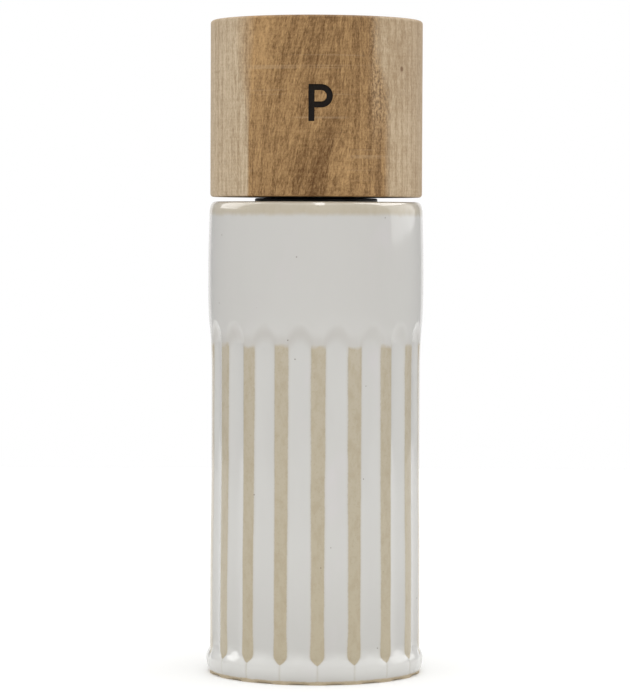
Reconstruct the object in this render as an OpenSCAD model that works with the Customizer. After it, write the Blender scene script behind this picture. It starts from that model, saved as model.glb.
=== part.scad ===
// Pepper mill: fluted stoneware body, turning wooden head, adjustable ceramic burrs underneath.
// Millimetres. The origin is the centre of the foot, +Z is up and the marked front faces -Y.

/* [Stoneware body] */
// Height of the stoneware body from foot to rim
body_h = 122.2; // [116:0.2:130]
// Widest diameter of the plain band above the flutes
band_d = 56; // [55:0.1:58]
// Diameter over the ridges between the flutes
ridge_d = 54.7; // [54:0.1:55]
// Diameter of the rounded swelling at the base
bulge_d = 56.4; // [55.6:0.1:57]
// Diameter of the foot ring where it meets the table
foot_d = 53.2; // [52:0.1:54]
// Number of flutes
flute_count = 18; // [16:1:20]
// Depth of a flute below the ridges
flute_depth = 0.8; // [0.5:0.05:1]
// Height at which the flutes start to run out
flute_top = 85.5; // [80:0.5:88]
// Inner diameter of the pepper chamber
chamber_d = 44.4; // [43:0.1:45]

/* [Wooden head] */
// Diameter of the wooden head
head_d = 54.9; // [52:0.1:57]
// Height of the wooden head
head_h = 45.55; // [40:0.05:60]
// Clear gap between the stoneware rim and the wood
head_gap = 1.25; // [1.2:0.05:2]
// Depth of the burnt letter
letter_depth = 0.3; // [0.2:0.05:0.5]

/* [Drive] */
// Width across the flats of the square shaft
shaft_w = 6; // [5.8:0.1:6.2]
// Play on each side where one square slides on another
square_play = 0.15; // [0.1:0.01:0.2]
// Lift of the grinding cone from its coarsest to its finest setting
cone_lift = 0.7; // [0.5:0.1:0.8]

/* [Hidden] */
$fn = 96;
eps = 0.01;          // overlap that joins two shapes of one solid
past = 1;            // how far a cutter runs past the face it cuts

clay = [0.80, 0.79, 0.75];
black_plastic = [0.06, 0.06, 0.06];
grey_plastic = [0.22, 0.22, 0.23];
silicone = [0.62, 0.62, 0.60];
burr_white = [0.90, 0.89, 0.86];
steel = [0.66, 0.67, 0.69];
alloy = [0.75, 0.76, 0.78];
wood = [0.62, 0.47, 0.31];

// ---- stoneware body ----
band_r = band_d / 2;
ridge_r = ridge_d / 2;
bulge_r = bulge_d / 2;
foot_r = foot_d / 2;
chamber_r = chamber_d / 2;
bulge_z = 3.2;       // height of the widest point of the base
flare_z = 8.5;       // height where the base has swept in to the ridges
band_low_z = 78;     // the fluted wall starts to widen into the band
band_high_z = 94;    // the band begins
band_mid_z = 103;    // widest point of the band
band_taper = 0.0013; // the band narrows by this times the height difference squared
rim_round = 2;       // radius of the rounded rim
rim_z = body_h - rim_round;
rim_r = band_r - band_taper * pow(rim_z - band_mid_z, 2);
neck_r = 15.5;       // hole in the neck
ceiling_z = body_h - 6.3;   // underside of the neck, inside the chamber
ceiling_round = 6;   // fillet from the chamber wall to the ceiling
web_low_z = 5.2;     // the web that carries the grinder
web_high_z = 9.7;
web_hole_r = 18.1;
foot_recess_r = 22.8;

// A blend from a to b that starts and ends level, for t from 0 to 1
function eased(a, b, t) = a + (b - a) * (1 - cos(180 * t)) / 2;
function band_radius(z) = band_r - band_taper * pow(z - band_mid_z, 2);

body_outline = concat(
    [for (t = [0:15:90]) [foot_r + (bulge_r - foot_r) * sin(t), bulge_z * (1 - cos(t))]],
    [for (t = [0.2:0.2:1]) [eased(bulge_r, ridge_r, t), bulge_z + (flare_z - bulge_z) * t]],
    [for (t = [0:0.2:1]) [eased(ridge_r, band_radius(band_high_z), t),
                          band_low_z + (band_high_z - band_low_z) * t]],
    [for (t = [0.2:0.2:0.8]) let (z = band_high_z + (rim_z - band_high_z) * t) [band_radius(z), z]],
    [for (t = [0:15:90]) [rim_r - rim_round * (1 - cos(t)), rim_z + rim_round * sin(t)]]
);

flute_pitch = 360 / flute_count;
ridge_width = 3.6;   // flat land left between two flutes
flute_half = flute_pitch / 2 - ridge_width / ridge_r * 90 / PI;   // half angle of a flute
flute_chord = ridge_r * sin(flute_half);
flute_sag = ridge_r * cos(flute_half) - (ridge_r - flute_depth);
flute_cut_r = (pow(flute_chord, 2) + pow(flute_sag, 2)) / (2 * flute_sag);
flute_centre_r = ridge_r - flute_depth + flute_cut_r;
flute_low = 11.5;    // height at which the flutes have their full depth over the base
flute_run_out = 6;   // length of the rounded lower end of a flute
flute_phase = 2;     // turns the ridge nearest the front a little to the right

// One flute: a straight channel with a rounded end at the top and over the base
module flute_cutter() {
    translate([flute_centre_r, 0, 0])
        rotate_extrude()
            polygon(concat(
                [for (t = [0:15:90]) [flute_cut_r * sin(t), flute_low - flute_run_out * cos(t)]],
                [for (t = [0:15:90]) [flute_cut_r * cos(t), flute_top + flute_cut_r * sin(t)]]
            ));
}

module ceramic_body() {
    color(clay)
    difference() {
        rotate_extrude()
            polygon(concat([[foot_recess_r, 0]], body_outline,
                           [[neck_r, body_h],
                            [neck_r, ceiling_z]],
                           [for (t = [90:-15:0]) [chamber_r - ceiling_round * (1 - cos(t)),
                                                  ceiling_z - ceiling_round * (1 - sin(t))]],
                           [[chamber_r, web_high_z],
                            [web_hole_r, web_high_z],
                            [web_hole_r, web_low_z],
                            [foot_recess_r, web_low_z]]));
        for (i = [0:flute_count - 1])
            rotate([0, 0, 270 + flute_phase + (i + 0.5) * flute_pitch]) flute_cutter();
    }
}

// ---- neck: black bush that lines the opening and carries the head ----
collar_r = 15.9;     // the black collar seen between wood and stoneware
bush_top_z = body_h + 0.95;
bush_bore_r = 10.8;
bush_tube_r = 12;
skirt_r = 15.1;
skirt_inner_r = 13.6;
bush_low_z = 111;
skirt_low_z = 113;
barb_r = 16;
barb_top_z = ceiling_z - 0.1;
gasket_groove_r = 14.5;
neck_gasket_z = body_h - 3.4;
neck_gasket_h = 2;
bush_web_t = 1.5;
snap_slots = 6;

module neck_bush() {
    color(black_plastic)
    difference() {
        rotate_extrude()
            polygon([
                [bush_bore_r, bush_low_z], [bush_tube_r, bush_low_z],
                [bush_tube_r, bush_top_z - bush_web_t], [skirt_inner_r, bush_top_z - bush_web_t],
                [skirt_inner_r, skirt_low_z], [skirt_r, skirt_low_z],
                [barb_r, barb_top_z - 0.6], [barb_r, barb_top_z], [skirt_r, barb_top_z],
                [skirt_r, neck_gasket_z], [gasket_groove_r, neck_gasket_z],
                [gasket_groove_r, neck_gasket_z + neck_gasket_h],
                [skirt_r, neck_gasket_z + neck_gasket_h],
                [skirt_r, body_h], [collar_r, body_h], [collar_r, bush_top_z - 0.25],
                [collar_r - 0.25, bush_top_z], [bush_bore_r + 0.4, bush_top_z],
                [bush_bore_r, bush_top_z - 0.4]
            ]);
        for (i = [0:snap_slots - 1])
            rotate([0, 0, i * 360 / snap_slots])
                translate([skirt_inner_r - 0.6, -0.8, skirt_low_z - past])
                    cube([4, 1.6, 4.6 + past]);
    }
}

module neck_gasket() {
    color(silicone)
    rotate_extrude()
        translate([(gasket_groove_r + neck_r) / 2, neck_gasket_z + neck_gasket_h / 2])
            square([neck_r - gasket_groove_r - 0.1, neck_gasket_h - 0.2], center = true);
}

// ---- base: glued socket with bayonet slots, and the grinder unit that locks into it ----
socket_flange_r = 22.2;
socket_low_z = 3;
socket_flange_t = 1.4;
socket_barrel_r = 17.8;
socket_bore_r = 16.3;
socket_top_z = 12.5;
socket_barb_r = 19;
base_gasket_in_r = 18.4;

bayonets = 3;
lug_r = 17.2;
lug_low_z = 6.6;
lug_high_z = 8.6;
lug_play = 0.2;
lug_half = 7;        // half angle of a lug
bayonet_turn = 36;   // turn from the entry slot to the locked place
bayonet_start = 20;  // place of the first locked lug

// A ring segment from angle -half to +half about +X
module ring_segment(r_in, r_out, z, h, half) {
    translate([0, 0, z])
        rotate([0, 0, -half])
            rotate_extrude(angle = 2 * half)
                translate([r_in, 0]) square([r_out - r_in, h]);
}

module base_socket() {
    color(black_plastic)
    difference() {
        rotate_extrude()
            polygon([
                [socket_bore_r, socket_low_z], [socket_flange_r, socket_low_z],
                [socket_flange_r, socket_low_z + socket_flange_t],
                [socket_barrel_r, socket_low_z + socket_flange_t],
                [socket_barrel_r, web_high_z + 0.2], [socket_barb_r, web_high_z + 0.2],
                [socket_barb_r, web_high_z + 0.8], [socket_barrel_r, socket_top_z],
                [socket_bore_r, socket_top_z]
            ]);
        for (i = [0:bayonets - 1]) rotate([0, 0, bayonet_start + i * 360 / bayonets]) {
            rotate([0, 0, bayonet_turn / 2])
                ring_segment(socket_bore_r - past, lug_r + lug_play, lug_low_z - lug_play,
                             lug_high_z - lug_low_z + 2 * lug_play, bayonet_turn / 2 + lug_half + 1);
            rotate([0, 0, bayonet_turn])
                ring_segment(socket_bore_r - 2 * past, lug_r + lug_play + 0.1, socket_low_z - past,
                             lug_high_z - socket_low_z + past, lug_half + 1.5);
        }
        for (i = [0:5]) rotate([0, 0, 30 + i * 60])
            translate([socket_bore_r - past, -0.7, web_high_z - 0.5]) cube([4, 1.4, 5]);
    }
}

module base_gasket() {
    color(silicone)
    translate([0, 0, socket_low_z + socket_flange_t])
        difference() {
            cylinder(r = socket_flange_r - 0.2, h = web_low_z - socket_low_z - socket_flange_t);
            translate([0, 0, -past]) cylinder(r = base_gasket_in_r, h = 3);
        }
}

housing_r = 16;
housing_low_z = 1.8;
housing_flange_r = 20;
housing_flange_t = 1.1;
housing_top_z = 26.5;
housing_bore_r = 14.1;   // seat of the fixed burr
housing_inner_r = 14.5;  // above the burr
ledge_z = 15.5;          // stops the fixed burr from above
ledge_t = 1;
ledge_r = 12;
hub_low_z = 23;
hub_r = 6.6;
journal_r = 4.05;
journal_play = 0.08;
spokes = 3;
spoke_w = 2.4;
key_r = 1.2;             // half-round keys that stop the fixed burr turning
key_start = 45;          // place of the first key
key_h = 10.4;             // they end below the ledge
key_play = 0.1;

module grinder_housing() {
    color(grey_plastic) {
        difference() {
            rotate_extrude()
                polygon([
                    [housing_bore_r, housing_low_z], [housing_flange_r, housing_low_z],
                    [housing_flange_r, housing_low_z + housing_flange_t],
                    [housing_r, housing_low_z + housing_flange_t], [housing_r, housing_top_z],
                    [housing_inner_r, housing_top_z], [housing_inner_r, ledge_z + ledge_t],
                    [ledge_r, ledge_z + ledge_t], [ledge_r, ledge_z], [housing_bore_r, ledge_z]
                ]);
            for (i = [0:2]) rotate([0, 0, key_start + i * 120]) {
                translate([housing_bore_r, 0, 0]) cylinder(r = key_r + key_play, h = ledge_z, $fn = 32);
                rotate([0, 0, 60])
                    ring_segment(housing_inner_r - past, housing_r + past,
                                 ledge_z + ledge_t + 0.4, 5, 34);
                rotate([0, 0, 90]) translate([housing_flange_r + 0.4, 0, 0])
                    cylinder(r = 2.2, h = housing_low_z + housing_flange_t + past / 2, $fn = 32);
            }
        }
        for (i = [0:bayonets - 1]) rotate([0, 0, bayonet_start + i * 360 / bayonets])
            ring_segment(housing_r - 0.5, lug_r, lug_low_z, lug_high_z - lug_low_z, lug_half);
        difference() {
            union() {
                translate([0, 0, hub_low_z]) cylinder(r = hub_r, h = housing_top_z - hub_low_z);
                for (i = [0:spokes - 1]) rotate([0, 0, key_start + i * 360 / spokes])
                    translate([0, -spoke_w / 2, hub_low_z])
                        cube([housing_inner_r + 0.5, spoke_w, housing_top_z - hub_low_z]);
            }
            translate([0, 0, hub_low_z - past])
                cylinder(r = journal_r + journal_play, h = housing_top_z - hub_low_z + 2 * past);
        }
    }
}

// Fixed burr: a funnel above the throat and a flaring grinding band below it
burr_low_z = 4;
burr_high_z = ledge_z - 0.1;
burr_ring_r = 14;
throat_z = 10;           // narrowest place of the fixed burr
throat_r = 10;
mouth_r = 12.3;          // lower edge of its grinding band
funnel_r = 11.4;         // upper edge of its funnel
ring_teeth = 24;
burr_slope = 23;         // half angle of the grinding bands, in degrees

module burr_ring() {
    color(burr_white)
    difference() {
        union() {
            rotate_extrude()
                polygon([
                    [mouth_r, burr_low_z], [burr_ring_r, burr_low_z], [burr_ring_r, burr_high_z],
                    [funnel_r, burr_high_z], [throat_r, throat_z]
                ]);
            for (i = [0:2]) rotate([0, 0, key_start + i * 120])
                translate([burr_ring_r - 0.1, 0, burr_low_z])
                    cylinder(r = key_r, h = key_h, $fn = 32);
        }
        for (i = [0:ring_teeth - 1])
            rotate([0, 0, (i + 0.5) * 360 / ring_teeth])
                translate([mouth_r - 0.4, 0, burr_low_z - past])
                    rotate([8, -burr_slope, 45])
                        cube([0.9, 0.9, 9]);
        for (i = [0:7])
            rotate([0, 0, i * 45 + 10])
                translate([10.3, 0, throat_z - 1])
                    rotate([0, 14, 0]) cylinder(r = 1.1, h = 8, $fn = 24);
    }
}

module burr_retainer() {
    color(black_plastic)
    difference() {
        translate([0, 0, housing_low_z + 0.6]) cylinder(r = housing_bore_r - 0.1, h = 1.5);
        cylinder(r = 12.6, h = 5);
        for (i = [0:3]) rotate([0, 0, 45 + i * 90])
            translate([12.6, 0, 0]) cylinder(r = 0.6, h = 5, $fn = 24);
    }
}

// ---- rotor: spindle, shaft, cone and its spring ----
spindle_low_z = 6.4;
spindle_sq = 5.6;        // lower square that drives the cone
spindle_corner_r = 3.6;  // its corners are turned down to this radius
journal_h = 5.5;
coupling_r = 5.8;        // tube that grips the square shaft
shoulder_z = housing_top_z + 0.5;
shoulder_r = 6.2;
shoulder_t = 1.5;
socket_top = 41;
shaft_low_z = 29.2;
shaft_top_z = 147;
shaft_corner_r = 3.95;
shaft_tip_h = 2;         // taper that leads the shaft into the head
shaft_tip_r = 2.2;
screw_r = 1.95;
screw_play = 0.07;
screw_top_z = 15;
screw_pocket_z = screw_top_z + cone_lift + 1.8;   // the screw rises into this pocket with the cone
pin_z = 35;
pin_r = 1;
pin_play = 0.03;

// A square bar whose corners are turned down to a circle
module turned_square(w, corner_r, z, h) {
    intersection() {
        translate([-w / 2, -w / 2, z]) cube([w, w, h]);
        translate([0, 0, z - past]) cylinder(r = corner_r, h = h + 2 * past);
    }
}

module drive_spindle() {
    color(black_plastic)
    difference() {
        union() {
            turned_square(spindle_sq, spindle_corner_r, spindle_low_z,
                          shoulder_z - journal_h - spindle_low_z + eps);
            translate([0, 0, shoulder_z - journal_h]) cylinder(r = journal_r, h = journal_h + eps);
            translate([0, 0, shoulder_z]) cylinder(r = shoulder_r, h = shoulder_t + eps);
            translate([0, 0, shoulder_z + shoulder_t])
                cylinder(r = coupling_r, h = socket_top - shoulder_z - shoulder_t);
            for (a = [0, 180]) rotate([0, 0, a])
                translate([0, -0.8, shoulder_z + 2]) rotate([0, 0, 12]) feed_paddle();
        }
        translate([0, 0, spindle_low_z - past])
            cylinder(r = screw_r + screw_play, h = screw_pocket_z - spindle_low_z + past);
        translate([-shaft_w / 2 - 0.1, -shaft_w / 2 - 0.1, shaft_low_z - 0.2])
            cube([shaft_w + 0.2, shaft_w + 0.2, socket_top]);
        cross_pin_hole();
    }
}

// Wing that stirs the peppercorns into the grinder
module feed_paddle() {
    difference() {
        cube([13.2, 1.6, 6]);
        translate([6.6, -past, 6]) rotate([0, 32, 0]) cube([12, 4, 6]);
    }
}

module cross_pin_hole() {
    translate([0, -10, pin_z]) rotate([-90, 0, 0]) cylinder(r = pin_r + pin_play, h = 20, $fn = 32);
}

module shaft_pin() {
    color(steel)
    translate([0, -5.6, pin_z]) rotate([-90, 0, 0]) cylinder(r = pin_r, h = 11.2, $fn = 32);
}

module thrust_washer() {
    color(steel)
    translate([0, 0, housing_top_z + 0.05])
        difference() {
            cylinder(r = 6.4, h = 0.4);
            translate([0, 0, -past]) cylinder(r = journal_r + 0.1, h = 3);
        }
}

clip_z = 143.2;
clip_wire_r = 0.5;
clip_leg_x = 3.3;
clip_groove = 0.35;

module drive_shaft() {
    color(alloy)
    difference() {
        intersection() {
            turned_square(shaft_w, shaft_corner_r, shaft_low_z, shaft_top_z - shaft_low_z);
            union() {
                cylinder(r = shaft_w, h = shaft_top_z - shaft_tip_h + eps);
                translate([0, 0, shaft_top_z - shaft_tip_h])
                    cylinder(r1 = shaft_corner_r, r2 = shaft_tip_r, h = shaft_tip_h);
            }
        }
        for (s = [-1, 1])
            translate([s * (shaft_w / 2 - clip_groove + 2) - 2, -5, clip_z - 0.75]) cube([4, 10, 1.5]);
        cross_pin_hole();
    }
}

cone_teeth = 24;
cone_low_z = 4.2;
cone_high_z = 16;
cone_r = 11.7;           // lower edge of the cone's grinding band
band_end_z = 8.5;        // top of that band
carrier_r = 5;
carrier_low_z = 4.6;
carrier_flange_r = 7.8;

module burr_cone() {
    color(burr_white)
    difference() {
        rotate_extrude()
            polygon([
                [8, cone_low_z], [cone_r, cone_low_z], [9.9, band_end_z], [8.9, throat_z],
                [5.8, cone_high_z], [carrier_r + 0.1, cone_high_z], [carrier_r + 0.1, 6], [8, 6]
            ]);
        for (i = [0:cone_teeth - 1])
            rotate([0, 0, i * 360 / cone_teeth])
                translate([cone_r - 0.35, 0, cone_low_z - past])
                    rotate([-8, -burr_slope, 45])
                        cube([0.8, 0.8, 9.5]);
        for (i = [0:5])
            rotate([0, 0, i * 60])
                translate([9.4, 0, throat_z - 1])
                    rotate([-18, -27, 0]) cylinder(r = 1.3, h = 12, $fn = 24);
    }
}

module cone_carrier() {
    color(grey_plastic)
    difference() {
        union() {
            translate([0, 0, carrier_low_z]) cylinder(r = carrier_flange_r, h = 1.3);
            translate([0, 0, carrier_low_z])
                cylinder(r = carrier_r, h = cone_high_z + 0.3 - carrier_low_z);
        }
        turned_square(spindle_sq + 2 * square_play, spindle_corner_r + square_play,
                      carrier_low_z - past, cone_high_z);
    }
}

module spring_washer() {
    color(steel)
    translate([0, 0, cone_high_z + 0.4])
        difference() {
            cylinder(r = 6.1, h = 0.4);
            translate([0, 0, -past]) cylinder(r = 3.95, h = 3);
        }
}

// Compression spring: closed coils at both ends and an open pitch between them
spring_low_z = cone_high_z + 0.85;
spring_high_z = hub_low_z - 0.1;
spring_r = 5;
spring_wire_r = 0.35;
spring_turns = 5;
spring_steps = 24;       // steps in one turn
spring_sides = 8;
spring_rings = spring_turns * spring_steps;
spring_rise = spring_high_z - spring_low_z - 2 * spring_wire_r;

// Share of the height reached after t of the turns, nearly level over each end turn
function coil_share(t) = t - 0.11 * sin(360 * t);
function coil_point(k, j) =
    let (t = k / spring_rings, a = 360 * spring_turns * t, b = 360 * j / spring_sides,
         r = spring_r + spring_wire_r * cos(b))
    [r * cos(a), r * sin(a),
     spring_low_z + spring_wire_r + spring_rise * coil_share(t) + spring_wire_r * sin(b)];

module cone_spring() {
    color(steel)
    polyhedron(
        points = [for (k = [0:spring_rings]) for (j = [0:spring_sides - 1]) coil_point(k, j)],
        faces = concat(
            [[for (j = [0:spring_sides - 1]) j]],
            [for (k = [0:spring_rings - 1]) for (j = [0:spring_sides - 1])
                let (n = (j + 1) % spring_sides, a = k * spring_sides)
                [a + j, a + spring_sides + j, a + spring_sides + n, a + n]],
            [[for (j = [spring_sides - 1:-1:0]) spring_rings * spring_sides + j]]
        )
    );
}

// ---- adjuster under the cone ----
knob_r = 9.5;
knob_low_z = 1.3;
knob_h = 2.7;
knob_boss_r = 4.4;
knob_boss_z = 4.55;
knob_grips = 12;
screw_head_r = 3.4;
screw_head_z = 2.1;
screw_head_h = 2.2;
thread_root_r = 1.6;
thread_pitch = 0.7;
thread_low_z = 6.5;

module adjusting_knob() {
    color(black_plastic)
    difference() {
        union() {
            rotate_extrude()
                polygon([
                    [0, knob_low_z], [knob_r - 0.6, knob_low_z], [knob_r, knob_low_z + 0.6],
                    [knob_r, knob_low_z + knob_h - 0.4], [knob_r - 0.4, knob_low_z + knob_h],
                    [0, knob_low_z + knob_h]
                ]);
            translate([0, 0, knob_low_z + knob_h - eps])
                cylinder(r = knob_boss_r, h = knob_boss_z - knob_low_z - knob_h + eps);
        }
        for (i = [0:knob_grips - 1]) rotate([0, 0, i * 360 / knob_grips])
            translate([knob_r + 0.9, 0, 0]) cylinder(r = 1.6, h = 5, $fn = 24);
        translate([0, 0, screw_head_z]) cylinder(r = screw_head_r + 0.05, h = 10, $fn = 6);
        for (s = [0.55, 0.75, 0.95])
            rotate([0, 0, 90 * s - 22]) translate([5.9, 0, 0])
                cylinder(r = 0.9 * s, h = knob_low_z + 0.3, $fn = 24);
    }
}

module adjusting_screw() {
    color(steel) {
        translate([0, 0, screw_head_z]) cylinder(r = screw_head_r, h = screw_head_h, $fn = 6);
        rotate_extrude()
            polygon(concat(
                [[0, screw_head_z + 1], [thread_root_r, screw_head_z + 1], [thread_root_r, thread_low_z]],
                [for (z = [thread_low_z + thread_pitch / 2:thread_pitch:screw_top_z - 0.6])
                    each [[screw_r, z], [thread_root_r, z + thread_pitch / 2]]],
                [[1.4, screw_top_z], [0, screw_top_z]]
            ));
    }
}

// ---- head ----
wood_low_z = body_h + head_gap;
wood_high_z = wood_low_z + head_h;
head_r = head_d / 2;
wood_round = 0.8;
insert_flange_z = bush_top_z + 0.15;
insert_flange_top = insert_flange_z + 1.4;
insert_r = 10.5;
insert_bore_r = 8.7;
insert_top_z = 151;
insert_roof_t = 1.5;
spigot_low_z = 115.5;
insert_play = 0.1;       // glue gap between insert and wood
head_screws = 3;
head_screw_pcd_r = 13.2;
head_screw_r = 1;
head_screw_head_r = 2.3;
head_screw_len = 9.8;

letter_left = -2.05;
letter_low_z = 142.3;
letter_h = 9.3;
letter_stroke = 1.55;
letter_bowl_r = 2.95;    // outer radius of the bowl
letter_bar = 3.2;        // straight part of the bowl's two arms

// A plain upright stroke with a round bowl, in the XY plane, as wide as its stroke everywhere
module letter_shape() {
    square([letter_stroke, letter_h]);
    translate([0, letter_h - letter_stroke]) square([letter_bar, letter_stroke]);
    translate([0, letter_h - 2 * letter_bowl_r]) square([letter_bar, letter_stroke]);
    translate([letter_bar, letter_h - letter_bowl_r])
        intersection() {
            difference() {
                circle(r = letter_bowl_r, $fn = 64);
                circle(r = letter_bowl_r - letter_stroke, $fn = 64);
            }
            translate([0, -letter_bowl_r]) square([letter_bowl_r, 2 * letter_bowl_r]);
        }
}

// The letter as a thin curved plate just inside the wood's round face
module letter_cutter() {
    intersection() {
        difference() {
            translate([0, 0, letter_low_z - 2]) cylinder(r = head_r + past, h = letter_h + 4);
            translate([0, 0, letter_low_z - 3]) cylinder(r = head_r - letter_depth, h = letter_h + 6);
        }
        translate([letter_left, -head_r + 3, letter_low_z])
            rotate([90, 0, 0]) linear_extrude(height = 6) letter_shape();
    }
}

module wooden_head() {
    color(wood)
    difference() {
        rotate_extrude()
            polygon(concat(
                [[0, wood_low_z]],
                [for (t = [0:18:90]) [head_r - wood_round * (1 - sin(t)),
                                      wood_low_z + wood_round * (1 - cos(t))]],
                [for (t = [0:18:90]) [head_r - wood_round * (1 - cos(t)),
                                      wood_high_z - wood_round * (1 - sin(t))]],
                [[0, wood_high_z]]
            ));
        translate([0, 0, wood_low_z - past])
            cylinder(r = collar_r + 0.2, h = insert_flange_top + insert_play - wood_low_z + past);
        translate([0, 0, wood_low_z - past])
            cylinder(r = insert_r + insert_play, h = insert_top_z + 0.3 - wood_low_z + past);
        for_each_head_screw() cylinder(r = head_screw_r + 0.02, h = head_screw_len + 0.6, $fn = 32);
        letter_cutter();
    }
}

module for_each_head_screw() {
    for (i = [0:head_screws - 1])
        rotate([0, 0, 30 + i * 360 / head_screws])
            translate([head_screw_pcd_r, 0, insert_flange_z]) children();
}

module head_insert() {
    socket_low = insert_flange_z + 3;
    color(black_plastic)
    difference() {
        union() {
            rotate_extrude()
                polygon([
                    [insert_bore_r, spigot_low_z], [insert_r - 0.4, spigot_low_z],
                    [insert_r, spigot_low_z + 0.6], [insert_r, insert_flange_z],
                    [collar_r, insert_flange_z], [collar_r, insert_flange_top],
                    [insert_r, insert_flange_top], [insert_r, insert_top_z],
                    [0, insert_top_z], [0, insert_top_z - insert_roof_t],
                    [insert_bore_r, insert_top_z - insert_roof_t]
                ]);
            translate([0, 0, socket_low])
                cylinder(r = 5.6, h = insert_top_z - insert_roof_t - socket_low + eps);
            for (a = [0:90:270]) rotate([0, 0, a])
                translate([5, -0.7, socket_low + 2])
                    cube([insert_bore_r - 4.7, 1.4,
                          insert_top_z - insert_roof_t - socket_low - 2 + eps]);
        }
        translate([-shaft_w / 2 - square_play, -shaft_w / 2 - square_play, socket_low - past])
            cube([shaft_w + 2 * square_play, shaft_w + 2 * square_play,
                  shaft_top_z + 0.6 - socket_low + past]);
        translate([-4.4, -7.6, clip_z - 0.7]) cube([8.8, 15.2, 1.4]);
        for_each_head_screw() {
            translate([0, 0, -past]) cylinder(r = head_screw_r + 0.2, h = 5, $fn = 32);
            translate([0, 0, -eps])
                cylinder(r1 = head_screw_head_r + 0.08, r2 = head_screw_r + 0.08, h = 1.25, $fn = 32);
        }
    }
}

module head_insert_screws() {
    color(steel)
    for_each_head_screw()
        difference() {
            union() {
                cylinder(r1 = head_screw_head_r, r2 = head_screw_r, h = 1.2, $fn = 32);
                translate([0, 0, 1.2 - eps])
                    cylinder(r = head_screw_r, h = head_screw_len - 2.2, $fn = 32);
                translate([0, 0, head_screw_len - 1 - eps])
                    cylinder(r1 = head_screw_r, r2 = 0.15, h = 1, $fn = 32);
            }
            for (a = [0, 90]) rotate([0, 0, a])
                translate([-1.2, -0.25, -past]) cube([2.4, 0.5, 0.6 + past]);
        }
}

// Wire hairpin that snaps into the shaft's groove and holds the head down
module head_clip() {
    color(steel) {
        for (s = [-1, 1])
            translate([s * clip_leg_x, -5.8, clip_z]) rotate([-90, 0, 0])
                cylinder(r = clip_wire_r, h = 9.4, $fn = 24);
        translate([0, 3.6 - eps, clip_z])
            rotate_extrude(angle = 180) translate([clip_leg_x, 0]) circle(r = clip_wire_r, $fn = 24);
    }
}

ceramic_body();
neck_bush();
neck_gasket();
base_socket();
base_gasket();
grinder_housing();
burr_ring();
burr_retainer();
drive_spindle();
thrust_washer();
drive_shaft();
shaft_pin();
burr_cone();
cone_carrier();
cone_spring();
spring_washer();
adjusting_knob();
adjusting_screw();
wooden_head();
head_insert();
head_insert_screws();
head_clip();
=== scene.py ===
"""Pepper mill: a fluted stoneware body under a plain turning wooden head.

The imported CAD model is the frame. This script adds the glazed body as a fine mesh, a wound wire
spring, the materials of every part, soft studio light and the camera.
"""
import math

import bpy
from mathutils import Matrix, Vector, noise


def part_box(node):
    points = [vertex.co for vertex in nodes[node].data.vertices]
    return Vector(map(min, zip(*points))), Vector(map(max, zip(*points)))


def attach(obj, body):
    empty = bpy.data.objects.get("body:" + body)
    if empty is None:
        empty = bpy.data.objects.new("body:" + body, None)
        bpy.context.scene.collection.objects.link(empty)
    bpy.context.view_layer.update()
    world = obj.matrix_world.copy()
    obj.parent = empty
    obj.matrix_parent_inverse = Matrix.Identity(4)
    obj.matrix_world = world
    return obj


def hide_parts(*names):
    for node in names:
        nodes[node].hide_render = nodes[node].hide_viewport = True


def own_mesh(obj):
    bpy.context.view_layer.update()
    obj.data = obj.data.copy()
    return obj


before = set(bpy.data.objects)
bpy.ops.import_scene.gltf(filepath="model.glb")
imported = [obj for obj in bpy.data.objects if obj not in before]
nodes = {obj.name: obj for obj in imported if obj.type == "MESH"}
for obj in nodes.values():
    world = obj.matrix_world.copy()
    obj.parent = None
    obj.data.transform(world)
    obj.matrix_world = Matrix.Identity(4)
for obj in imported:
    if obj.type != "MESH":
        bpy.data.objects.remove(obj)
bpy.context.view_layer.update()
MM = 0.001

body_low, body_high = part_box("ceramic_body")
head_low, head_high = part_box("wooden_head")
BODY_H = body_high[2] / MM
BULGE_R = body_high[0] / MM
HEAD_R = head_high[0] / MM
HEAD_LOW_Z = head_low[2] / MM
HEAD_HIGH_Z = head_high[2] / MM

# ---------------------------------------------------------------- camera

CAMERA_DISTANCE = 0.840
CAMERA_HEIGHT = 0.116
CAMERA_SIDE = -0.00015
CAMERA_PITCH = 2.197    # degrees down
CAMERA_ROLL = 0.22      # degrees, the right side of the picture sits a little lower
FOCAL_LENGTH = 166.24   # for a 36 mm sensor along the picture's height


def make_camera():
    data = bpy.data.cameras.new("camera")
    data.sensor_fit = "VERTICAL"
    data.sensor_height = 36
    data.lens = FOCAL_LENGTH
    camera = bpy.data.objects.new("camera", data)
    bpy.context.scene.collection.objects.link(camera)
    look = Matrix.Rotation(math.radians(90 - CAMERA_PITCH), 4, "X")
    roll = Matrix.Rotation(math.radians(CAMERA_ROLL), 4, "Z")
    place = Matrix.Translation((CAMERA_SIDE, -CAMERA_DISTANCE, CAMERA_HEIGHT))
    camera.matrix_world = place @ look @ roll
    bpy.context.scene.camera = camera


make_camera()

# ---------------------------------------------------------------- shader building


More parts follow.
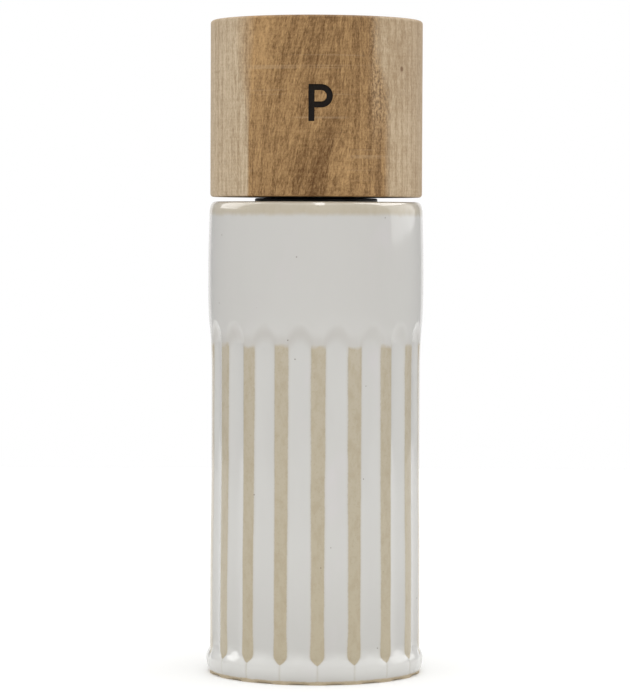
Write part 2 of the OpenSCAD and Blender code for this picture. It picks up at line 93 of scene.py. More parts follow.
class Shader:
    """A material's node tree, with one short call for each kind of node."""

    def __init__(self, name):
        self.material = bpy.data.materials.new(name)
        self.material.use_nodes = True
        self.tree = self.material.node_tree
        self.surface = self.tree.nodes["Principled BSDF"]
        coordinates = self.tree.nodes.new("ShaderNodeTexCoord")
        self.place = coordinates.outputs["Object"]

    def put(self, socket, value):
        if isinstance(value, bpy.types.NodeSocket):
            self.tree.links.new(value, socket)
        else:
            socket.default_value = value

    def math(self, operation, a, b=0.0, clamp=False):
        node = self.tree.nodes.new("ShaderNodeMath")
        node.operation = operation
        node.use_clamp = clamp
        for socket, value in zip(node.inputs, (a, b)):
            self.put(socket, value)
        return node.outputs[0]

    def add(self, a, b):
        return self.math("ADD", a, b)

    def subtract(self, a, b):
        return self.math("SUBTRACT", a, b)

    def times(self, a, b):
        return self.math("MULTIPLY", a, b)

    def step(self, value, low, high):
        """0 where value is at low, 1 at high, with a soft change between."""
        node = self.tree.nodes.new("ShaderNodeMapRange")
        node.interpolation_type = "SMOOTHSTEP"
        self.put(node.inputs["Value"], value)
        self.put(node.inputs["From Min"], low)
        self.put(node.inputs["From Max"], high)
        return node.outputs["Result"]

    def ramp(self, value, low, high, to_low, to_high):
        node = self.tree.nodes.new("ShaderNodeMapRange")
        self.put(node.inputs["Value"], value)
        for name, number in zip(("From Min", "From Max", "To Min", "To Max"),
                                (low, high, to_low, to_high)):
            self.put(node.inputs[name], number)
        return node.outputs["Result"]

    def split(self, vector):
        node = self.tree.nodes.new("ShaderNodeSeparateXYZ")
        self.put(node.inputs[0], vector)
        return node.outputs[0], node.outputs[1], node.outputs[2]

    def join(self, x, y, z):
        node = self.tree.nodes.new("ShaderNodeCombineXYZ")
        for socket, value in zip(node.inputs, (x, y, z)):
            self.put(socket, value)
        return node.outputs[0]

    def stretched(self, vector, scale):
        node = self.tree.nodes.new("ShaderNodeVectorMath")
        node.operation = "MULTIPLY"
        self.put(node.inputs[0], vector)
        node.inputs[1].default_value = scale
        return node.outputs[0]

    def noise(self, vector, scale, detail=2.0, roughness=0.5):
        """Noise from 0 to 1 over coordinates in metres; scale is a number or one for each axis."""
        if isinstance(scale, (tuple, list)):
            vector = self.stretched(vector, scale)
            scale = 1.0
        node = self.tree.nodes.new("ShaderNodeTexNoise")
        self.put(node.inputs["Vector"], vector)
        node.inputs["Scale"].default_value = scale
        node.inputs["Detail"].default_value = detail
        node.inputs["Roughness"].default_value = roughness
        return node.outputs["Fac"]

    def cells(self, vector, scale):
        """(distance to the nearest random point, a random number for its cell)."""
        node = self.tree.nodes.new("ShaderNodeTexVoronoi")
        self.put(node.inputs["Vector"], vector)
        node.inputs["Scale"].default_value = scale
        return node.outputs["Distance"], self.split(node.outputs["Color"])[0]

    def mix(self, share, a, b):
        node = self.tree.nodes.new("ShaderNodeMix")
        node.data_type = "RGBA"
        self.put(node.inputs[0], share)
        self.put(node.inputs[6], colour(a))
        self.put(node.inputs[7], colour(b))
        return node.outputs[2]

    def bump(self, height, strength, distance):
        node = self.tree.nodes.new("ShaderNodeBump")
        self.put(node.inputs["Height"], height)
        node.inputs["Strength"].default_value = strength
        node.inputs["Distance"].default_value = distance
        self.put(self.surface.inputs["Normal"], node.outputs["Normal"])
        return node.outputs["Normal"]

    def set(self, **values):
        for name, value in values.items():
            self.put(self.surface.inputs[name.replace("_", " ")], value)


def colour(value):
    """A colour socket as it is, or a colour given as 0 to 255 screen values, made linear."""
    if isinstance(value, bpy.types.NodeSocket) or len(value) == 4:
        return value
    linear = (((v / 255 + 0.055) / 1.055) ** 2.4 if v > 10 else v / 255 / 12.92 for v in value)
    return tuple(linear) + (1,)


# ---------------------------------------------------------------- stoneware body

FLUTES = 18
PITCH = 360 / FLUTES
FIRST_RIDGE = 1.5       # degrees from the front towards +X
PITCH_MM = 9.5          # one flute and one ridge, measured along the wall
LAND = 1.75             # half the width of a ridge
FLUTE_DEPTH = 0.75
TIP_Z = 4.9             # the ridges end in rounded points here
TIP_FULL_Z = 7.4        # and have their full width from here up
CREASE = 0.07           # depth of the line below each point
PILLOW = 0.3            # how far the base falls away from the middle of a flute to that line
FLARE_Z = 8.4           # the flutes start to sweep out over the base
BULGE_Z = 3.9
FOOT_R = 26.3
RIDGE_R = 27.4
WAIST_R = 27.15
BAND_R = 28.0
BAND_Z = 103.0
ARCH_Z = 85.3           # the flutes start to run out at the top
ARCH_RUN = 26           # how gently they do
RIM_RISE = 3.0
RIM_REACH = 1.25
HAND_WAVE = 0.035       # how uneven the hand-finished wall is
STRIPE_TOP_Z = 85.6
CREAM_RIM_Z = 118.85
CLAY_Z = 0.95           # the foot is bare clay below this height


def smooth(low, high, x):
    t = min(max((x - low) / (high - low), 0), 1)
    return t * t * (3 - 2 * t)


def ridge_radius(z):
    band = BAND_R - 0.0013 * (z - BAND_Z) ** 2
    wall = RIDGE_R - (RIDGE_R - WAIST_R) * smooth(20, 56, z)
    return wall + (band - wall) * smooth(76, 96, z)


def lobe_radius(z):
    """The wall at the middle of a flute, from the straight stretch down over the base."""
    if z < BULGE_Z:
        return FOOT_R + (BULGE_R - FOOT_R) * math.sqrt(1 - (1 - z / BULGE_Z) ** 2)
    low = RIDGE_R - FLUTE_DEPTH
    return low + (BULGE_R - low) * (1 - smooth(BULGE_Z, FLARE_Z, z))


def softened(depth, width=0.1):
    """The depth of a cut, with its edge rounded as glaze rounds it."""
    if depth > width:
        return depth
    return (depth + width) ** 2 / (4 * width) if depth > -width else 0


def tip_share(z):
    """Share of a ridge's full width that is left at height z near its lower end."""
    low = min(max((TIP_FULL_Z - z) / (TIP_FULL_Z - TIP_Z), 0), 1)
    return 1 - low * low


def wall_radius(z, s):
    """The outer wall at height z and s millimetres from the middle of the nearest ridge."""
    d = PITCH_MM / 2 - s
    across = 1 - (d / (PITCH_MM / 2 - LAND)) ** 2
    if z >= FLARE_Z:
        depth = FLUTE_DEPTH * across - max(0, z - ARCH_Z) ** 2 / ARCH_RUN
        depth += 0.9 * max(0, ridge_radius(z) - RIDGE_R + (RIDGE_R - WAIST_R) * smooth(20, 56, z))
        return ridge_radius(z) - softened(depth, 0.1 + 0.25 * smooth(ARCH_Z, ARCH_Z + 4, z))
    fall = PILLOW * smooth(1.4, 3.6, z) * (1 - smooth(TIP_Z - 0.5, FLARE_Z - 0.9, z))
    fall *= (2 * d / PITCH_MM) ** 2
    lobe = lobe_radius(z)
    proud = lobe - RIDGE_R
    if proud < 0:
        return RIDGE_R - softened(-proud * across) - fall
    sink = proud * smooth(TIP_Z, TIP_FULL_Z + 0.8, z)
    crease = CREASE * smooth(0.2, 1.5, z) * (1 - smooth(TIP_Z, TIP_Z + 1, z))
    beside = max(0, s - LAND * tip_share(z))
    return lobe - fall - sink * math.exp(-(beside / 0.55) ** 2) - crease * math.exp(-s / 0.3)


def steps(low, high, count):
    return [low + (high - low) * i / count for i in range(count)]


def wall_heights():
    foot = [BULGE_Z * (1 - math.cos(math.radians(t))) for t in range(0, 90, 8)]
    return (foot + steps(BULGE_Z, 12, 34) + steps(12, 76, 32) + steps(76, 96, 44)
            + steps(96, BODY_H - RIM_RISE, 22))


def ring_angles():
    """Angles round the body, closest together at the ridges' edges and over the creases."""
    half = [0, 0.12, 0.28, 0.5, 0.75, 1.0, 1.25, 1.45, 1.6, 1.78, 1.96, 2.2, 2.55, 3.0, 3.6, 4.2,
            PITCH_MM / 2]
    angles = []
    for flute in range(FLUTES):
        for s in half[:-1] + [-v for v in half[:0:-1]]:
            place = s if s >= 0 else s + PITCH_MM
            angles.append((flute * PITCH + place / PITCH_MM * PITCH, abs(s)))
    return angles


def inner_rows():
    """The profile inside the body, from the rim down through the chamber to the foot recess."""
    neck_r, ceiling_z, fillet = 15.5, BODY_H - 6.3, 6
    chamber_r, web_high, web_low, hole_r, recess_r = 22.2, 9.7, 5.2, 18.1, 22.8
    rows = [(22, BODY_H), (18, BODY_H), (neck_r + 0.3, BODY_H), (neck_r, BODY_H - 0.3)]
    rows += [(neck_r, ceiling_z)]
    rows += [(chamber_r - fillet * (1 - math.cos(math.radians(t))),
              ceiling_z - fillet * (1 - math.sin(math.radians(t)))) for t in range(90, -1, -15)]
    rows += [(chamber_r, z) for z in (80, 50, 25)]
    rows += [(chamber_r, web_high), (hole_r, web_high), (hole_r, web_low), (recess_r, web_low)]
    rows += [(recess_r, 0.4), (recess_r + 0.4, 0)]
    return rows


def grid_mesh(name, rows, closed_rows=True):
    """A mesh from rows of points that each close on themselves."""
    count = len(rows[0])
    points = [p for row in rows for p in row]
    faces = []
    last = len(rows) if closed_rows else len(rows) - 1
    for i in range(last):
        a, b = i * count, (i + 1) % len(rows) * count
        for j in range(count):
            k = (j + 1) % count
            faces.append((a + j, a + k, b + k, b + j))
    mesh = bpy.data.meshes.new(name)
    mesh.from_pydata(points, [], faces)
    mesh.validate()
    piece = bpy.data.objects.new(name, mesh)
    bpy.context.scene.collection.objects.link(piece)
    return piece


def make_stoneware():
    angles = ring_angles()

    def ring(radius, z):
        row = []
        for turn, s in angles:
            a = math.radians(FIRST_RIDGE + turn)
            r = radius(s) if callable(radius) else radius
            row.append(Vector((r * math.sin(a), -r * math.cos(a), z)))
        return row

    rows = []
    for z in wall_heights():
        row = ring(lambda s, z=z: wall_radius(z, s), z)
        hand = HAND_WAVE * smooth(1, 4, z)
        for p in row:
            outward = Vector((p.x, p.y, 0)).normalized()
            p += outward * hand * noise.noise(p * 0.07)
        rows.append(row)
    rim_r = wall_radius(BODY_H - RIM_RISE, 0) - RIM_REACH
    for t in range(0, 91, 10):
        c, s = math.cos(math.radians(t)), math.sin(math.radians(t))
        rows.append(ring(rim_r + RIM_REACH * c, BODY_H - RIM_RISE + RIM_RISE * s))
    rows += [ring(r, z) for r, z in inner_rows()]
    rows = [[p * MM for p in row] for row in rows]
    piece = grid_mesh("stoneware_body", rows)
    piece.data.shade_smooth()
    piece.data.set_sharp_from_angle(angle=math.radians(38))
    piece.data.materials.append(glaze_material())
    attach(piece, "body")
    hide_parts("ceramic_body")
    return piece


def glaze_material():
    """White glaze, thin and creamy over the ridges and the rim, and bare clay at the foot."""
    m = Shader("glazed_stoneware")
    x, y, z = m.split(m.place)
    height = m.times(z, 1000)
    turn = m.times(m.math("ARCTAN2", x, m.times(y, -1)), 180 / math.pi)
    share = m.math("FRACT", m.add(m.times(m.subtract(turn, FIRST_RIDGE), 1 / PITCH), 10.5))
    side = m.times(m.math("ABSOLUTE", m.subtract(share, 0.5)), PITCH_MM)

    # how far the cream shows on a ridge
    wander = m.subtract(m.noise(m.place, (420, 420, 130), 3), 0.5)
    ragged = m.subtract(m.noise(m.place, 2600, 2), 0.5)
    point = m.ramp(height, TIP_FULL_Z, TIP_Z, 0, 1)
    point = m.subtract(1.0, m.times(point, point))
    swell = m.times(m.step(height, 14, 8), 0.16)
    half_width = m.times(m.add(m.ramp(height, 15, 85, 1.62, 1.86), swell), point)
    edge = m.add(m.add(side, m.times(wander, 0.3)), m.times(ragged, 0.12))
    reach = m.subtract(m.subtract(half_width, edge), m.times(m.step(height, 5.3, 4.6), 0.1))
    stripe = m.step(reach, -0.2, 0.17)
    top_edge = m.add(height, m.add(m.times(m.subtract(m.noise(m.place, 330, 2), 0.5), 2.4),
                                   m.times(ragged, 0.4)))
    stripe = m.times(stripe, m.step(top_edge, STRIPE_TOP_Z + 0.7, STRIPE_TOP_Z - 0.7))
    rim_edge = m.add(height, m.add(m.times(wander, 1.0), m.times(ragged, 0.25)))
    rim = m.step(rim_edge, CREAM_RIM_Z - 0.75, CREAM_RIM_Z + 0.75)
    thin = m.math("MAXIMUM", stripe, rim)

    # white glaze, cloudy, with the clay faintly showing at the edges of the flutes, and painted
    # shade under the arched top of each flute
    cloud = m.noise(m.place, (55, 55, 30), 3)
    white = m.mix(cloud, (206, 205, 201), (199, 197, 193))
    white = m.mix(m.step(m.noise(m.place, (120, 120, 60), 2), 0.55, 0.8), white, (205, 201, 200))
    band = m.step(height, 82, 92)
    white = m.mix(m.times(band, 0.35), white, (188, 185, 180))
    # painted shade: a grey arch under the top of each flute, where the run-out faces down, stronger
    # on the left
    arch_line = m.add(m.times(m.step(side, 0.8, 4.4), 2.4), 86.4)
    painted_arch_shade = m.step(m.math("ABSOLUTE", m.subtract(height, arch_line)), 3.2, 0.1)
    white = m.mix(m.times(painted_arch_shade, m.ramp(x, 0, 0.016, 0.48, 0.26)), white, (180, 175, 168))

    # greyer low in the flutes, painted light whitening the swelling at the base, which faces up,
    # and painted shade greying it again at the foot
    painted_light_sides = m.ramp(m.math("ABSOLUTE", turn), 8, 32, 0.5, 0.78)
    white = m.mix(m.times(m.step(height, 34, 10), 0.4), white, (182, 180, 175))
    # painted light: the swelling at the base, which faces up, whitened most round the sides
    white = m.mix(m.times(m.step(height, 9.4, 6.0), painted_light_sides), white, (217, 216, 212))
    # painted shade: the glaze greyed low at the foot, where the body curves under towards the floor
    white = m.mix(m.times(m.step(height, 4.2, 0.6), 0.5), white, (182, 180, 175))
    skim = m.times(m.step(reach, -0.7, -0.1), m.step(height, 87, 84))
    white = m.mix(m.times(skim, 0.3), white, (186, 180, 165))
    grain = m.noise(m.place, 1500, 4, 0.65)
    mottle = m.noise(m.place, (520, 520, 260), 3, 0.6)
    cream = m.mix(m.ramp(height, 10, 120, 0, 1), (178, 166, 140), (186, 176, 157))
    cloudy = m.times(m.step(mottle, 0.4, 0.7), m.subtract(0.45, m.times(rim, 0.3)))
    cream = m.mix(cloudy, cream, (167, 152, 123))
    fine = m.times(m.step(grain, 0.5, 0.75), m.subtract(0.35, m.times(rim, 0.25)))
    cream = m.mix(fine, cream, (158, 143, 115))
    # a thin broken brown line along each edge of the cream, gone above 86 mm
    brown_edge_line = m.times(m.step(m.math("ABSOLUTE", m.add(reach, 0.04)), 0.14, 0.0),
                   m.step(grain, 0.4, 0.6))
    face = m.mix(thin, white, cream)
    face = m.mix(m.times(m.times(brown_edge_line, m.step(height, 86, 80)), 0.3), face, (148, 130, 103))

    # pinholes and iron specks
    far, which = m.cells(m.place, 210)
    speck = m.times(m.step(far, 0.05, 0.024), m.step(which, 0.22, 0.24))
    far_big, which_big = m.cells(m.place, 75)
    big = m.times(m.step(far_big, 0.017, 0.008), m.step(which_big, 0.6, 0.62))
    dots = m.math("MAXIMUM", speck, big)
    face = m.mix(m.times(dots, 0.75), face, (112, 100, 84))

    # bare clay at the foot and under it
    reach_in = m.math("SQRT", m.add(m.times(x, x), m.times(y, y)))
    foot_edge = m.add(height, m.add(m.times(wander, 0.5), m.times(ragged, 0.3)))
    bare = m.math("MAXIMUM", m.step(foot_edge, CLAY_Z + 0.2, CLAY_Z - 0.2),
                  m.times(m.step(reach_in, 0.0236, 0.0232), m.step(height, 5.5, 5.3)))
    clay = m.mix(m.noise(m.place, 900, 3), (200, 187, 162), (174, 156, 128))
    face = m.mix(bare, face, clay)

    covered = m.subtract(1.0, bare)
    pool = m.noise(m.place, (300, 300, 120), 2)
    m.set(Base_Color=face, Roughness=m.ramp(covered, 0, 1, 0.85, 0.42), IOR=1.5,
          Specular_IOR_Level=0.35, Coat_Weight=m.times(covered, 0.9), Coat_Roughness=0.035,
          Coat_IOR=1.5)
    height_map = m.add(m.times(pool, 0.3), m.times(m.times(grain, bare), 0.8))
    height_map = m.subtract(height_map, m.times(dots, 0.5))
    normal = m.bump(m.add(height_map, m.times(grain, 0.04)), 0.35, 0.0003)
    m.put(m.surface.inputs["Coat Normal"], normal)
    return m.material


# ---------------------------------------------------------------- wooden head

HEART_LEFT = -17.3      # the heartwood's edges on the front, in millimetres from the middle
HEART_RIGHT = 18.4
KNOT_X = 21.6
KNOT_Z = 155.9
LETTER_Z = 146.9        # the letter's middle


def wood_material():
    """Oiled wood with pale sapwood at the sides, brown heartwood in front and a burnt letter."""
    m = Shader("head_wood")
    x, y, z = m.split(m.place)
    mm_x, mm_y, mm_z = m.times(x, 1000), m.times(y, 1000), m.times(z, 1000)

    # the fibres lean to the right in the heartwood and stand upright at the sides
    lean = m.times(m.step(m.math("ABSOLUTE", m.add(mm_x, 3)), 17, 6), 0.2)
    leant = m.subtract(x, m.times(m.subtract(z, 0.145), lean))
    fibre_place = m.join(leant, y, z)
    waver = m.subtract(m.noise(m.place, (40, 40, 12), 2), 0.5)

    # distance from the pith, in front of the head, gives the rings and the edge of the heartwood
    wide = m.add(leant, m.times(waver, 0.006))
    deep = m.add(y, 0.075)
    ring_r = m.times(m.math("SQRT", m.add(m.times(wide, wide), m.times(deep, deep))), 1000)
    ring = m.math("FRACT", m.times(m.add(ring_r, m.times(waver, 3)), 1 / 2.3))
    late = m.times(m.step(ring, 0.55, 0.97), m.step(ring, 1.0, 0.97))

    # heartwood between a straight edge on the left and a wavy edge on the right
    left_edge = m.add(m.subtract(mm_x, HEART_LEFT),
                      m.times(m.step(mm_z, 142, 158), m.times(waver, 6)))
    blur = m.ramp(mm_z, 140, 162, 0.3, 2.6)
    high = m.step(mm_z, 146, 163)
    right_edge = m.subtract(HEART_RIGHT, m.times(high, 3.2))
    right_edge = m.subtract(m.add(right_edge, m.times(waver, 5)), mm_x)
    heart = m.times(m.math("DIVIDE", m.add(left_edge, blur), m.times(blur, 2), clamp=True),
                    m.step(right_edge, -1.4, 1.2))
    heart = m.times(heart, m.step(ring_r, 74, 66))

    # the tone is 0 in pale wood and 1 in dark, made of fibres, streaks, cross marks and rings
    fibre = m.subtract(m.noise(fibre_place, (1900, 1900, 320), 4, 0.7), 0.5)
    dash = m.subtract(m.noise(fibre_place, (2900, 2900, 1400), 3, 0.7), 0.5)
    streak = m.subtract(m.noise(fibre_place, (480, 480, 55), 3, 0.6), 0.5)
    broad = m.subtract(m.noise(fibre_place, (110, 110, 24), 3, 0.55), 0.5)
    weft = m.subtract(m.noise(m.place, (170, 170, 2300), 3, 0.6), 0.5)
    tone = m.add(m.times(fibre, 1.4), m.add(m.times(streak, 0.7), m.times(weft, 0.34)))
    tone = m.add(m.add(tone, m.times(dash, 1.15)), m.add(m.times(broad, 0.32), 0.5))

    # pale at the top left, darker low down in the middle, and one dark streak at the top
    pale_left = m.times(m.step(mm_x, -7, -15), m.ramp(mm_z, 135, 166, 0.04, 0.22))
    low_dark = m.times(m.step(mm_z, 144, 134), m.step(m.math("ABSOLUTE", m.add(mm_x, 5)), 13, 3))
    vein = m.subtract(mm_x, m.add(-5.6, m.times(m.subtract(mm_z, 167), 0.27)))
    vein = m.times(m.step(m.math("ABSOLUTE", vein), 1.6, 0.2), m.step(mm_z, 148, 158))
    shade = m.add(m.add(m.times(low_dark, 0.1), m.times(vein, 0.16)), m.times(late, 0.12))
    heart_tone = m.add(m.subtract(tone, pale_left), shade)

    # flecked wood on the right, where the grain turns
    fleck_zone = m.times(m.step(mm_x, 12.5, 15), m.step(mm_x, 21, 18.5))
    fleck_zone = m.times(fleck_zone, m.step(mm_z, 132, 150))
    fleck = m.subtract(m.noise(m.place, (1900, 1900, 1300), 3, 0.65), 0.5)
    heart_tone = m.add(heart_tone, m.times(fleck_zone, m.add(m.times(fleck, 3.2), 0.07)))

    sap_tone = m.add(m.subtract(m.times(tone, 0.85), m.times(broad, 0.3)), m.times(late, 0.15))
    wedge = m.times(m.step(m.math("ABSOLUTE", m.subtract(mm_x, 21)), 4, 2), m.step(mm_z, 152, 138))
    sap_tone = m.subtract(m.add(sap_tone, m.times(m.step(mm_x, 10, 14), 0.1)), m.times(wedge, 0.12))
    heart_colour = m.mix(m.step(heart_tone, -0.15, 1.15), (190, 152, 103), (90, 58, 23))
    sap_colour = m.mix(m.step(sap_tone, -0.15, 1.15), (213, 194, 165), (143, 115, 80))
    sap_colour = m.mix(m.times(m.step(mm_x, 8, 20), 0.12), sap_colour, (168, 132, 86))
    heart_share = m.times(heart, m.subtract(1.0, m.times(fleck_zone, 0.28)))
    base = m.mix(heart_share, sap_colour, heart_colour)

    # short dark pores, faint cross marks left by the saw, and one small knot
    pores = m.step(m.noise(fibre_place, (2600, 2600, 330), 1, 0.4), 0.66, 0.74)
    base = m.mix(m.times(pores, m.ramp(heart, 0, 1, 0.25, 0.5)), base, (84, 57, 30))
    saw = m.noise(m.place, (14, 14, 1300), 1, 0.5)
    where = m.step(m.noise(m.place, (60, 60, 90), 1), 0.45, 0.6)
    cross = m.times(m.step(saw, 0.6, 0.72), where)
    base = m.mix(m.times(cross, 0.16), base, (204, 180, 146))
    knot_x = m.subtract(mm_x, KNOT_X)
    knot_z = m.times(m.subtract(mm_z, KNOT_Z), 0.55)
    knot = m.math("SQRT", m.add(m.times(knot_x, knot_x), m.times(knot_z, knot_z)))
    knot = m.times(m.step(knot, 0.55, 0.15), m.step(mm_y, 0, -2))
    base = m.mix(m.times(knot, 0.8), base, (104, 68, 38))

    # end grain is darker
    end = m.math("MAXIMUM", m.step(mm_z, HEAD_HIGH_Z - 0.25, HEAD_HIGH_Z - 0.02),
                 m.step(mm_z, HEAD_LOW_Z + 0.25, HEAD_LOW_Z + 0.02))
    base = m.mix(m.times(end, 0.3), base, (120, 88, 54))

    # the letter: whatever lies below the round face on the front is burnt
    reach = m.times(m.math("SQRT", m.add(m.times(x, x), m.times(y, y))), 1000)
    front = m.times(m.step(mm_y, -20, -22),
                    m.step(m.math("ABSOLUTE", m.subtract(mm_z, LETTER_Z)), 8, 6))
    burnt = m.times(m.step(reach, HEAD_R - 0.02, HEAD_R - 0.10), front)
    char = m.mix(m.noise(m.place, (1600, 1600, 500), 3), (15, 10, 6), (28, 19, 12))
    base = m.mix(burnt, base, char)

    relief = m.subtract(m.subtract(m.add(fibre, m.times(streak, 0.5)), m.times(pores, 0.8)),
                        m.times(cross, 0.2))
    roughness = m.add(m.ramp(fibre, -0.2, 0.2, 0.66, 0.5), m.times(burnt, 0.25))
    m.set(Base_Color=base, Roughness=roughness, IOR=1.45, Specular_IOR_Level=0.25)
    m.bump(relief, 0.3, 0.00018)
    return m.material


# ---------------------------------------------------------------- plastics, metals, burrs


def plastic_material(name, base, roughness):
    """Moulded plastic with a fine spark-eroded grain and slightly rubbed patches."""
    m = Shader(name)
    grain = m.noise(m.place, 4200, 3, 0.6)
    rub = m.noise(m.place, 220, 3, 0.6)
    shade = m.mix(m.times(m.step(rub, 0.5, 0.8), 0.35), base, tuple(v + 22 for v in base))
    m.set(Base_Color=shade, Roughness=m.ramp(rub, 0.3, 0.7, roughness + 0.08, roughness - 0.08),
          IOR=1.46)
    m.bump(grain, 0.25, 0.00006)
    return m.material


def silicone_material():
    m = Shader("silicone")
    dust = m.noise(m.place, 700, 4, 0.6)
    shade = m.mix(m.step(dust, 0.4, 0.75), (158, 158, 152), (182, 181, 175))
    m.set(Base_Color=shade, Roughness=m.ramp(dust, 0.3, 0.7, 0.5, 0.68), IOR=1.42,
          Subsurface_Weight=0.2, Subsurface_Scale=0.001)
    m.bump(dust, 0.15, 0.00008)
    return m.material


def burr_material():
    """Fired technical ceramic: chalky white, a little pepper dust in patches."""
    m = Shader("burr_ceramic")
    grain = m.noise(m.place, 3200, 4, 0.7)
    dust = m.noise(m.place, 480, 4, 0.65)
    shade = m.mix(m.times(m.step(dust, 0.52, 0.75), 0.5), (226, 222, 212), (172, 158, 132))
    m.set(Base_Color=shade, Roughness=m.ramp(grain, 0.3, 0.7, 0.55, 0.75), IOR=1.6)
    m.bump(grain, 0.35, 0.00008)
    return m.material


def metal_material(name, base, stretch, roughness):
    """Metal with the fine lines of drawing or turning, stretched as the three numbers say."""
    m = Shader(name)
    lines = m.noise(m.place, stretch, 3, 0.6)
    stain = m.noise(m.place, 260, 3, 0.6)
    shade = m.mix(m.times(m.step(stain, 0.5, 0.8), 0.4), base, tuple(v * 0.82 for v in base))
    m.set(Base_Color=shade, Metallic=1.0,
          Roughness=m.ramp(lines, 0.3, 0.7, roughness - 0.08, roughness + 0.1))
    m.bump(lines, 0.3, 0.00004)
    return m.material


def set_material(names, material):
    for name in names:
        data = nodes[name].data
        data.materials.clear()
        data.materials.append(material)


# ---------------------------------------------------------------- wire spring

SPRING_TURNS = 5
SPRING_WIRE = 0.35
SPRING_R = 5.0


def make_spring():
    """The cone's compression spring, wound from round wire, closed at both ends."""
    low, high = (p[2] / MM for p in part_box("cone_spring"))
    rise = high - low - 2 * SPRING_WIRE
    rings, sides = SPRING_TURNS * 48, 16
    rows = []
    for k in range(rings + 1):
        t = k / rings
        a = 2 * math.pi * SPRING_TURNS * t
        middle = low + SPRING_WIRE + rise * (t - 0.11 * math.sin(2 * math.pi * t))
        row = []
        for j in range(sides):
            b = 2 * math.pi * j / sides
            r = SPRING_R + SPRING_WIRE * math.cos(b)
            z = middle + SPRING_WIRE * math.sin(b)
            row.append(Vector((r * math.cos(a), r * math.sin(a), z)) * MM)
        rows.append(row)
    piece = grid_mesh("cone_spring_wire", rows, closed_rows=False)
    caps = [list(range(sides))[::-1], [rings * sides + j for j in range(sides)]]
    add_faces(piece.data, caps)
    piece.data.shade_smooth()
    piece.data.set_sharp_from_angle(angle=math.radians(50))
    piece.data.materials.append(steel)
    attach(piece, "spindle")
    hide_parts("cone_spring")
    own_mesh(piece)


def add_faces(mesh, extra):
    points = [v.co.copy() for v in mesh.vertices]
    faces = [list(p.vertices) for p in mesh.polygons] + extra
    mesh.clear_geometry()
    mesh.from_pydata(points, [], faces)
    mesh.validate()


# ---------------------------------------------------------------- making the pieces

black = plastic_material("black_plastic", (26, 26, 27), 0.48)
grey = plastic_material("grey_plastic", (58, 58, 60), 0.52)
silicone = silicone_material()
burr = burr_material()
steel = metal_material("stainless_steel", (196, 197, 199), (900, 900, 5200), 0.28)
aluminium = metal_material("shaft_aluminium", (208, 209, 211), (5200, 5200, 120), 0.32)

make_stoneware()
set_material(["wooden_head"], wood_material())
set_material(["neck_bush", "base_socket", "burr_retainer", "drive_spindle", "adjusting_knob",
              "head_insert"], black)
set_material(["grinder_housing", "cone_carrier"], grey)
set_material(["neck_gasket", "base_gasket"], silicone)
set_material(["burr_ring", "burr_cone"], burr)
set_material(["thrust_washer", "shaft_pin", "spring_washer", "adjusting_screw",
              "head_insert_screws", "head_clip"], steel)
set_material(["drive_shaft"], aluminium)
make_spring()

# ---------------------------------------------------------------- floor and light

FLOOR_REACH = 0.7
WINDOW_DISTANCE = 0.9
WINDOW_AIM_Z = 0.09     # the windows point at the mill's middle


def make_floor():
    mesh = bpy.data.meshes.new("floor")
    size = FLOOR_REACH
    mesh.from_pydata([(-size, -size, 0), (size, -size, 0), (size, size, 0), (-size, size, 0)],
                     [], [(0, 1, 2, 3)])
    floor = bpy.data.objects.new("floor", mesh)
    bpy.context.scene.collection.objects.link(floor)
    m = Shader("floor")
    m.set(Base_Color=colour((246, 246, 245)), Roughness=0.9)
    mesh.materials.append(m.material)


def add_light(name, kind, power):
    data = bpy.data.lights.new(name, kind)
    data.energy = power
    light = bpy.data.objects.new(name, data)
    bpy.context.scene.collection.objects.link(light)
    return light


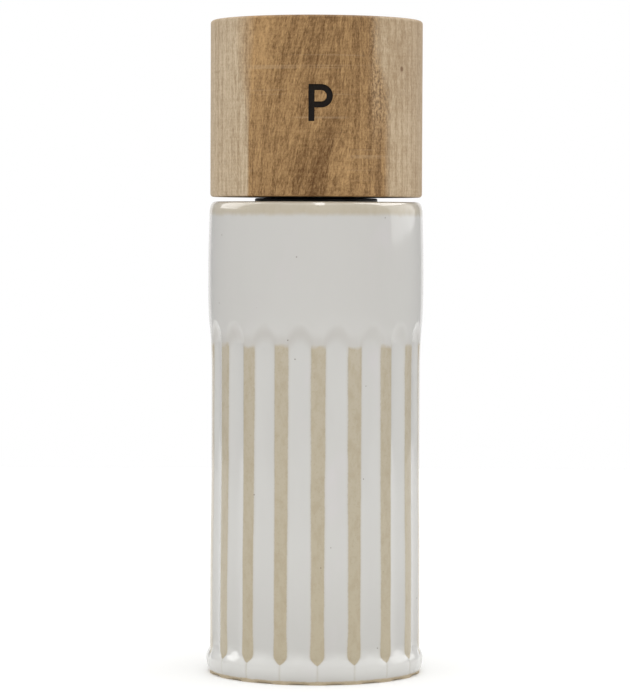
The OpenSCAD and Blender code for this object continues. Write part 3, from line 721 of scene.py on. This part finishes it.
def window(name, azimuth, elevation, width, height, power, turn=0.0):
    """A rectangular light that shows in the glaze, at that azimuth: 0 in front, 90 on the right."""
    light = add_light(name, "AREA", power)
    light.data.shape = "RECTANGLE"
    light.data.size = width
    light.data.size_y = height
    light.visible_diffuse = False
    a, e = math.radians(azimuth), math.radians(elevation)
    away = Vector((math.sin(a) * math.cos(e), -math.cos(a) * math.cos(e), math.sin(e)))
    aim = (-away).to_track_quat("-Z", "Y").to_matrix().to_4x4()
    place = Matrix.Translation(Vector((0, 0, WINDOW_AIM_Z)) + away * WINDOW_DISTANCE)
    light.matrix_world = place @ aim @ Matrix.Rotation(math.radians(turn), 4, "Z")


def sky(power):
    """Broad light from straight above, which whitens the floor and what faces up."""
    light = add_light("sky", "SUN", power)
    light.data.angle = math.radians(90)


def make_world(front, back):
    """A white surround, brighter in front than behind, with a white backdrop straight behind."""
    world = bpy.data.worlds.new("studio")
    world.use_nodes = True
    tree = world.node_tree
    way = tree.nodes.new("ShaderNodeSeparateXYZ")
    tree.links.new(tree.nodes.new("ShaderNodeTexCoord").outputs["Generated"], way.inputs[0])
    light = tree.nodes.new("ShaderNodeMapRange")
    light.inputs["From Min"].default_value = -1
    light.inputs["To Min"].default_value = front
    light.inputs["To Max"].default_value = back
    tree.links.new(way.outputs["Y"], light.inputs["Value"])
    backdrop = tree.nodes.new("ShaderNodeMapRange")
    backdrop.inputs["From Min"].default_value = 0.86
    backdrop.inputs["From Max"].default_value = 0.92
    backdrop.inputs["To Max"].default_value = 0.7
    tree.links.new(way.outputs["Y"], backdrop.inputs["Value"])
    both = tree.nodes.new("ShaderNodeMath")
    tree.links.new(light.outputs["Result"], both.inputs[0])
    tree.links.new(backdrop.outputs["Result"], both.inputs[1])
    seen = tree.nodes.new("ShaderNodeMapRange")
    rays = tree.nodes.new("ShaderNodeLightPath")
    tree.links.new(rays.outputs["Is Camera Ray"], seen.inputs["Value"])
    tree.links.new(both.outputs[0], seen.inputs["To Min"])
    tree.links.new(seen.outputs["Result"], tree.nodes["Background"].inputs["Strength"])
    tree.nodes["Background"].inputs["Color"].default_value = (1, 1, 1, 1)
    bpy.context.scene.world = world


make_floor()
make_world(0.84, 0.32)
sky(1.9)
window("right_window", 110, 15, 0.76, 0.38, 1.4, 1.2)
window("right_sky", 109, 50, 0.76, 0.60, 8.4)
window("left_window", -112, 44, 0.60, 1.10, 6.6)
window("overhead_strip", 5, 61, 0.12, 0.6, 2.4)
bpy.context.scene.view_settings.view_transform = "Standard"
